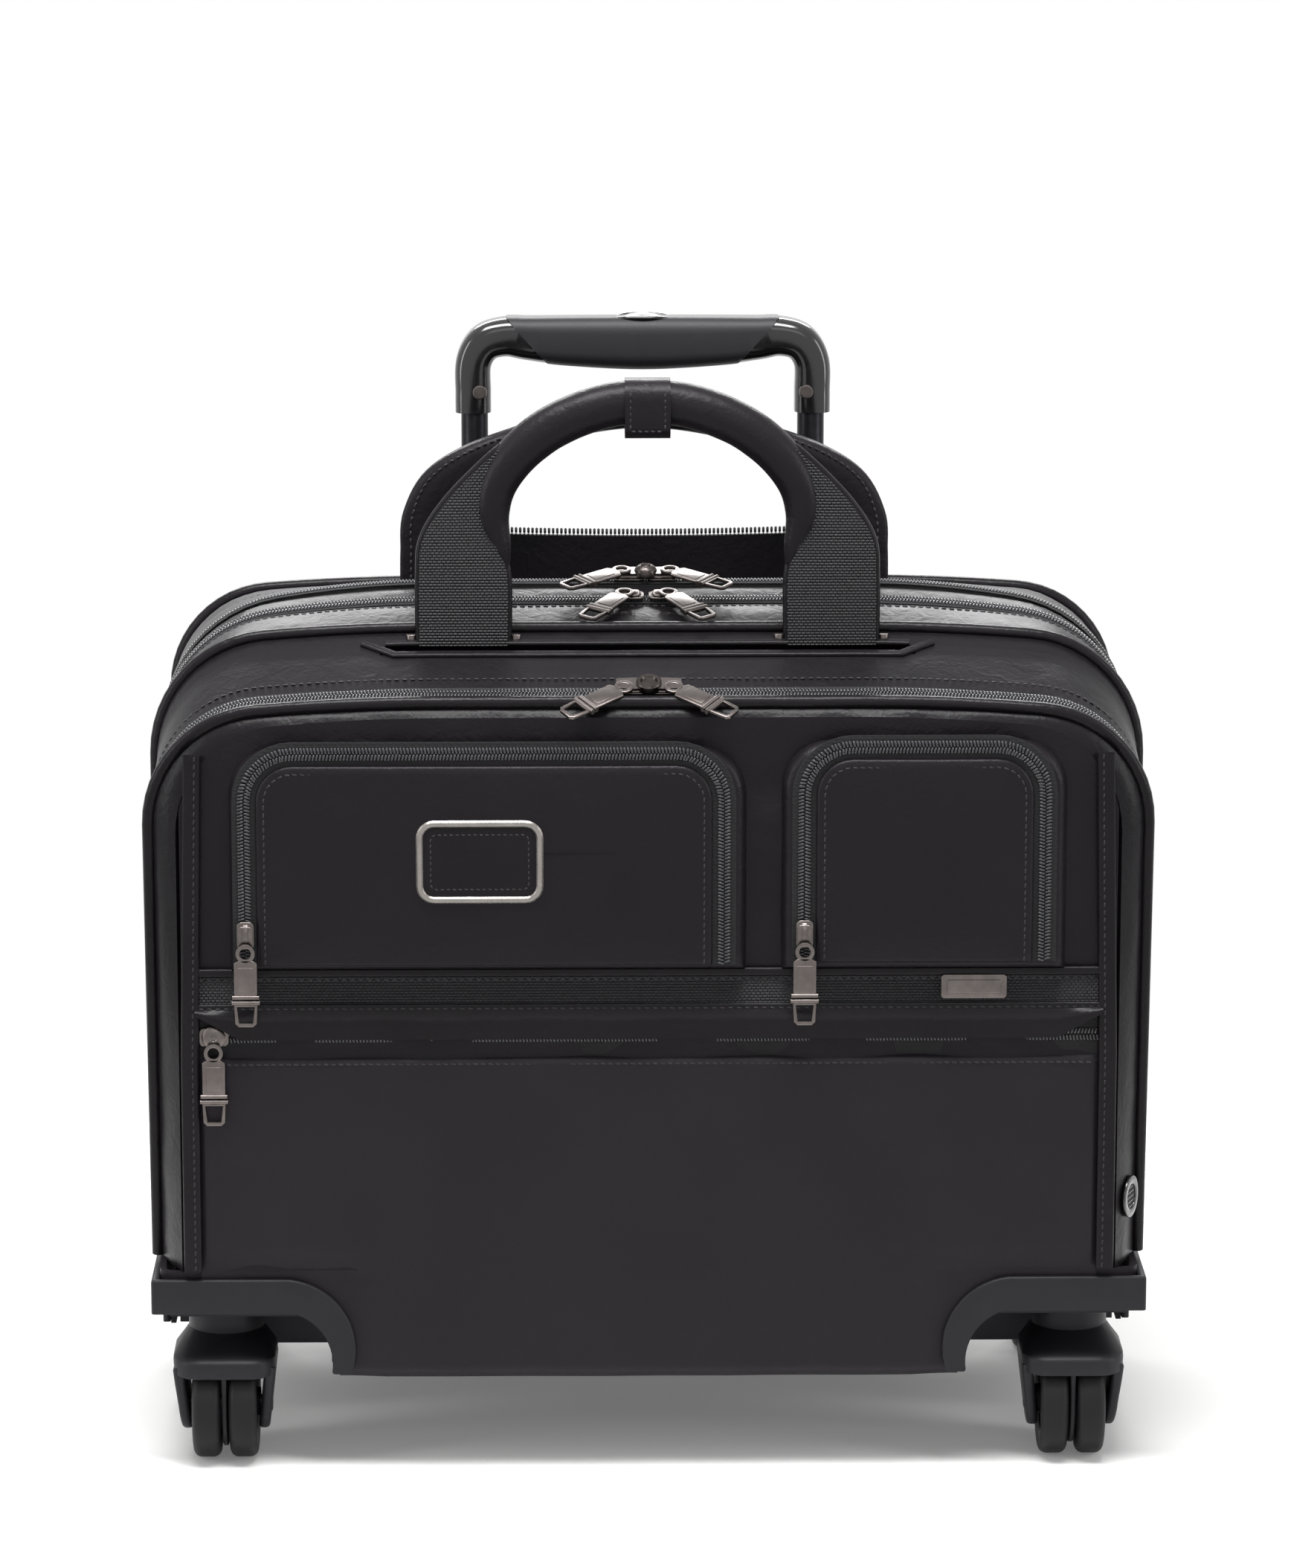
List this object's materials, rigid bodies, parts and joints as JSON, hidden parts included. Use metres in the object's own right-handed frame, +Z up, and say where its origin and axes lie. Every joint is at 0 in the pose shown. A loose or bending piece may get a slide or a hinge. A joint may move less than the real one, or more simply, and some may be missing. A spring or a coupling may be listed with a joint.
{
  "type": "rolling laptop case",
  "caption": "Black leather rolling laptop case with spinner casters, telescoping trolley handle, carry handles, zipped front pockets, opening front panel and front section.",
  "frame": {"origin": "centre of the bounding box at floor level", "axes": "+X to the right seen from the front, front at -Y, +Z up"},
  "size_m": [0.4489, 0.2439, 0.492],
  "materials": {
    "leather": "fine grain, semi-matt",
    "ballistic_weave": "embossed weave",
    "lining": "plain woven",
    "zip_tape": "woven tape with black coil",
    "moulded_plastic": "satin moulded",
    "gloss_plastic": "gloss",
    "soft_grip": "soft touch",
    "button_plastic": "satin",
    "wheel_rubber": "satin",
    "black_tube": "anodised",
    "gunmetal": "satin gunmetal"
  },
  "bodies": {
    "case": {"base_pan": "moulded_plastic", "lower_gusset": "leather", "rear_gusset": "leather", "back_panel": "leather", "rear_piping": "leather", "corner_guards": "moulded_plastic", "caster_sockets": "moulded_plastic", "bay_wall": "lining", "laptop_divider": "lining", "main_zip": "zip_tape", "side_ring": "gunmetal", "outer_tubes": "black_tube", "tube_bezel": "moulded_plastic", "tube_bracket": "moulded_plastic"},
    "front_section": {"handle_studs": "gunmetal", "section_gusset": "leather", "slip_pocket_walls": "lining", "second_piping": "leather", "front_zip": "zip_tape", "second_zip": "zip_tape"},
    "front_panel": {"front_panel": "leather", "drain_eyelet": "moulded_plastic", "front_piping": "leather", "front_pockets": "leather", "pocket_flaps": "leather", "metal_trim": "gunmetal", "panel_zips": "zip_tape", "trim_band": "ballistic_weave", "band_lip": "leather", "lower_panel": "leather"},
    "trolley_lower": {"middle_tubes": "black_tube"},
    "trolley_upper": {"inner_tubes": "black_tube", "grip_elbows": "gloss_plastic", "grip_core": "soft_grip", "grip_screws": "gunmetal"},
    "push_button": {"push_button": "button_plastic"},
    "front_handle": {"front_handle": "leather"},
    "rear_handle": {"rear_handle": "leather"},
    "fork_front_left": {"fork_front_left": "moulded_plastic"},
    "wheels_front_left": {"wheels_front_left": "wheel_rubber"},
    "fork_front_right": {"fork_front_right": "moulded_plastic"},
    "wheels_front_right": {"wheels_front_right": "wheel_rubber"},
    "fork_rear_left": {"fork_rear_left": "moulded_plastic"},
    "wheels_rear_left": {"wheels_rear_left": "wheel_rubber"},
    "fork_rear_right": {"fork_rear_right": "moulded_plastic"},
    "wheels_rear_right": {"wheels_rear_right": "wheel_rubber"},
    "front_zip_slider_left": {"front_zip_slider_left": "gunmetal"},
    "front_zip_slider_right": {"front_zip_slider_right": "gunmetal"},
    "second_zip_slider_left": {"second_zip_slider_left": "gunmetal"},
    "second_zip_slider_right": {"second_zip_slider_right": "gunmetal"},
    "main_zip_slider_left": {"main_zip_slider_left": "gunmetal"},
    "main_zip_slider_right": {"main_zip_slider_right": "gunmetal"},
    "left_pocket_slider": {"left_pocket_slider": "gunmetal"},
    "left_pocket_pull": {"left_pocket_pull": "gunmetal"},
    "right_pocket_slider": {"right_pocket_slider": "gunmetal"},
    "right_pocket_pull": {"right_pocket_pull": "gunmetal"},
    "lower_slider": {"lower_slider": "gunmetal"},
    "lower_pull": {"lower_pull": "gunmetal"},
    "luggage_tag": {"luggage_tag": "leather"}
  },
  "joints": [
    {"name": "section_opening", "type": "hinge", "parent": "case", "child": "front_section", "pos_m": [0, -0.1115, 0.092], "axis": [1, 0, 0], "range_deg": [0, 30]},
    {"name": "panel_opening", "type": "hinge", "parent": "front_section", "child": "front_panel", "pos_m": [0, -0.1115, 0.092], "axis": [1, 0, 0], "range_deg": [0, 75]},
    {"name": "trolley_lower_stage", "type": "slide", "parent": "case", "child": "trolley_lower", "axis": [0, 0, 1], "range_m": [0, 0.24]},
    {"name": "trolley_upper_stage", "type": "slide", "parent": "trolley_lower", "child": "trolley_upper", "axis": [0, 0, 1], "range_m": [-0.099, 0.146]},
    {"name": "button_press", "type": "slide", "parent": "trolley_upper", "child": "push_button", "axis": [0, 0, -1], "range_m": [0, 0.003], "stiffness_N_per_m": 400},
    {"name": "front_handle_fold", "type": "hinge", "parent": "front_section", "child": "front_handle", "pos_m": [0, -0.057, 0.3714], "axis": [1, 0, 0], "range_deg": [-15, 70]},
    {"name": "rear_handle_fold", "type": "hinge", "parent": "case", "child": "rear_handle", "pos_m": [0, 0.045, 0.3777], "axis": [1, 0, 0], "range_deg": [-20, 60]},
    {"name": "swivel_front_left", "type": "hinge", "parent": "case", "child": "fork_front_left", "pos_m": [-0.19, -0.074, 0.06], "axis": [0, 0, 1], "continuous": true},
    {"name": "roll_front_left", "type": "hinge", "parent": "fork_front_left", "child": "wheels_front_left", "pos_m": [-0.19, -0.086, 0.025], "axis": [1, 0, 0], "continuous": true},
    {"name": "swivel_front_right", "type": "hinge", "parent": "case", "child": "fork_front_right", "pos_m": [0.19, -0.074, 0.06], "axis": [0, 0, 1], "continuous": true},
    {"name": "roll_front_right", "type": "hinge", "parent": "fork_front_right", "child": "wheels_front_right", "pos_m": [0.19, -0.086, 0.025], "axis": [1, 0, 0], "continuous": true},
    {"name": "swivel_rear_left", "type": "hinge", "parent": "case", "child": "fork_rear_left", "pos_m": [-0.19, 0.086, 0.06], "axis": [0, 0, 1], "continuous": true},
    {"name": "roll_rear_left", "type": "hinge", "parent": "fork_rear_left", "child": "wheels_rear_left", "pos_m": [-0.19, 0.074, 0.025], "axis": [1, 0, 0], "continuous": true},
    {"name": "swivel_rear_right", "type": "hinge", "parent": "case", "child": "fork_rear_right", "pos_m": [0.19, 0.086, 0.06], "axis": [0, 0, 1], "continuous": true},
    {"name": "roll_rear_right", "type": "hinge", "parent": "fork_rear_right", "child": "wheels_rear_right", "pos_m": [0.19, 0.074, 0.025], "axis": [1, 0, 0], "continuous": true},
    {"name": "front_zip_slider_left_run", "type": "slide", "parent": "front_panel", "child": "front_zip_slider_left", "axis": [1, 0, 0], "range_m": [-0.05, 0]},
    {"name": "front_zip_slider_right_run", "type": "slide", "parent": "front_panel", "child": "front_zip_slider_right", "axis": [1, 0, 0], "range_m": [0, 0.05]},
    {"name": "second_zip_slider_left_run", "type": "slide", "parent": "front_section", "child": "second_zip_slider_left", "axis": [1, 0, 0], "range_m": [-0.05, 0]},
    {"name": "second_zip_slider_right_run", "type": "slide", "parent": "front_section", "child": "second_zip_slider_right", "axis": [1, 0, 0], "range_m": [0, 0.05]},
    {"name": "main_zip_slider_left_run", "type": "slide", "parent": "front_section", "child": "main_zip_slider_left", "axis": [1, 0, 0], "range_m": [-0.05, 0]},
    {"name": "main_zip_slider_right_run", "type": "slide", "parent": "front_section", "child": "main_zip_slider_right", "axis": [1, 0, 0], "range_m": [0, 0.05]},
    {"name": "left_pocket_zip_run", "type": "slide", "parent": "front_panel", "child": "left_pocket_slider", "axis": [0, 0, 1], "range_m": [0, 0.055]},
    {"name": "left_pocket_pull_swing", "type": "hinge", "parent": "left_pocket_slider", "child": "left_pocket_pull", "pos_m": [-0.177, -0.1216, 0.244], "axis": [-1, 0, 0], "range_deg": [0, 120]},
    {"name": "right_pocket_zip_run", "type": "slide", "parent": "front_panel", "child": "right_pocket_slider", "axis": [0, 0, 1], "range_m": [0, 0.055]},
    {"name": "right_pocket_pull_swing", "type": "hinge", "parent": "right_pocket_slider", "child": "right_pocket_pull", "pos_m": [0.068, -0.1216, 0.244], "axis": [-1, 0, 0], "range_deg": [0, 120]},
    {"name": "lower_zip_run", "type": "slide", "parent": "front_panel", "child": "lower_slider", "axis": [1, 0, 0], "range_m": [0, 0.38]},
    {"name": "lower_pull_swing", "type": "hinge", "parent": "lower_slider", "child": "lower_pull", "pos_m": [-0.192, -0.1136, 0.197], "axis": [-1, 0, 0], "range_deg": [0, 100]},
    {"name": "tag_swing", "type": "hinge", "parent": "case", "child": "luggage_tag", "pos_m": [-0.224, 0.025, 0.262], "axis": [0, 1, 0], "range_deg": [0, 80]}
  ]
}
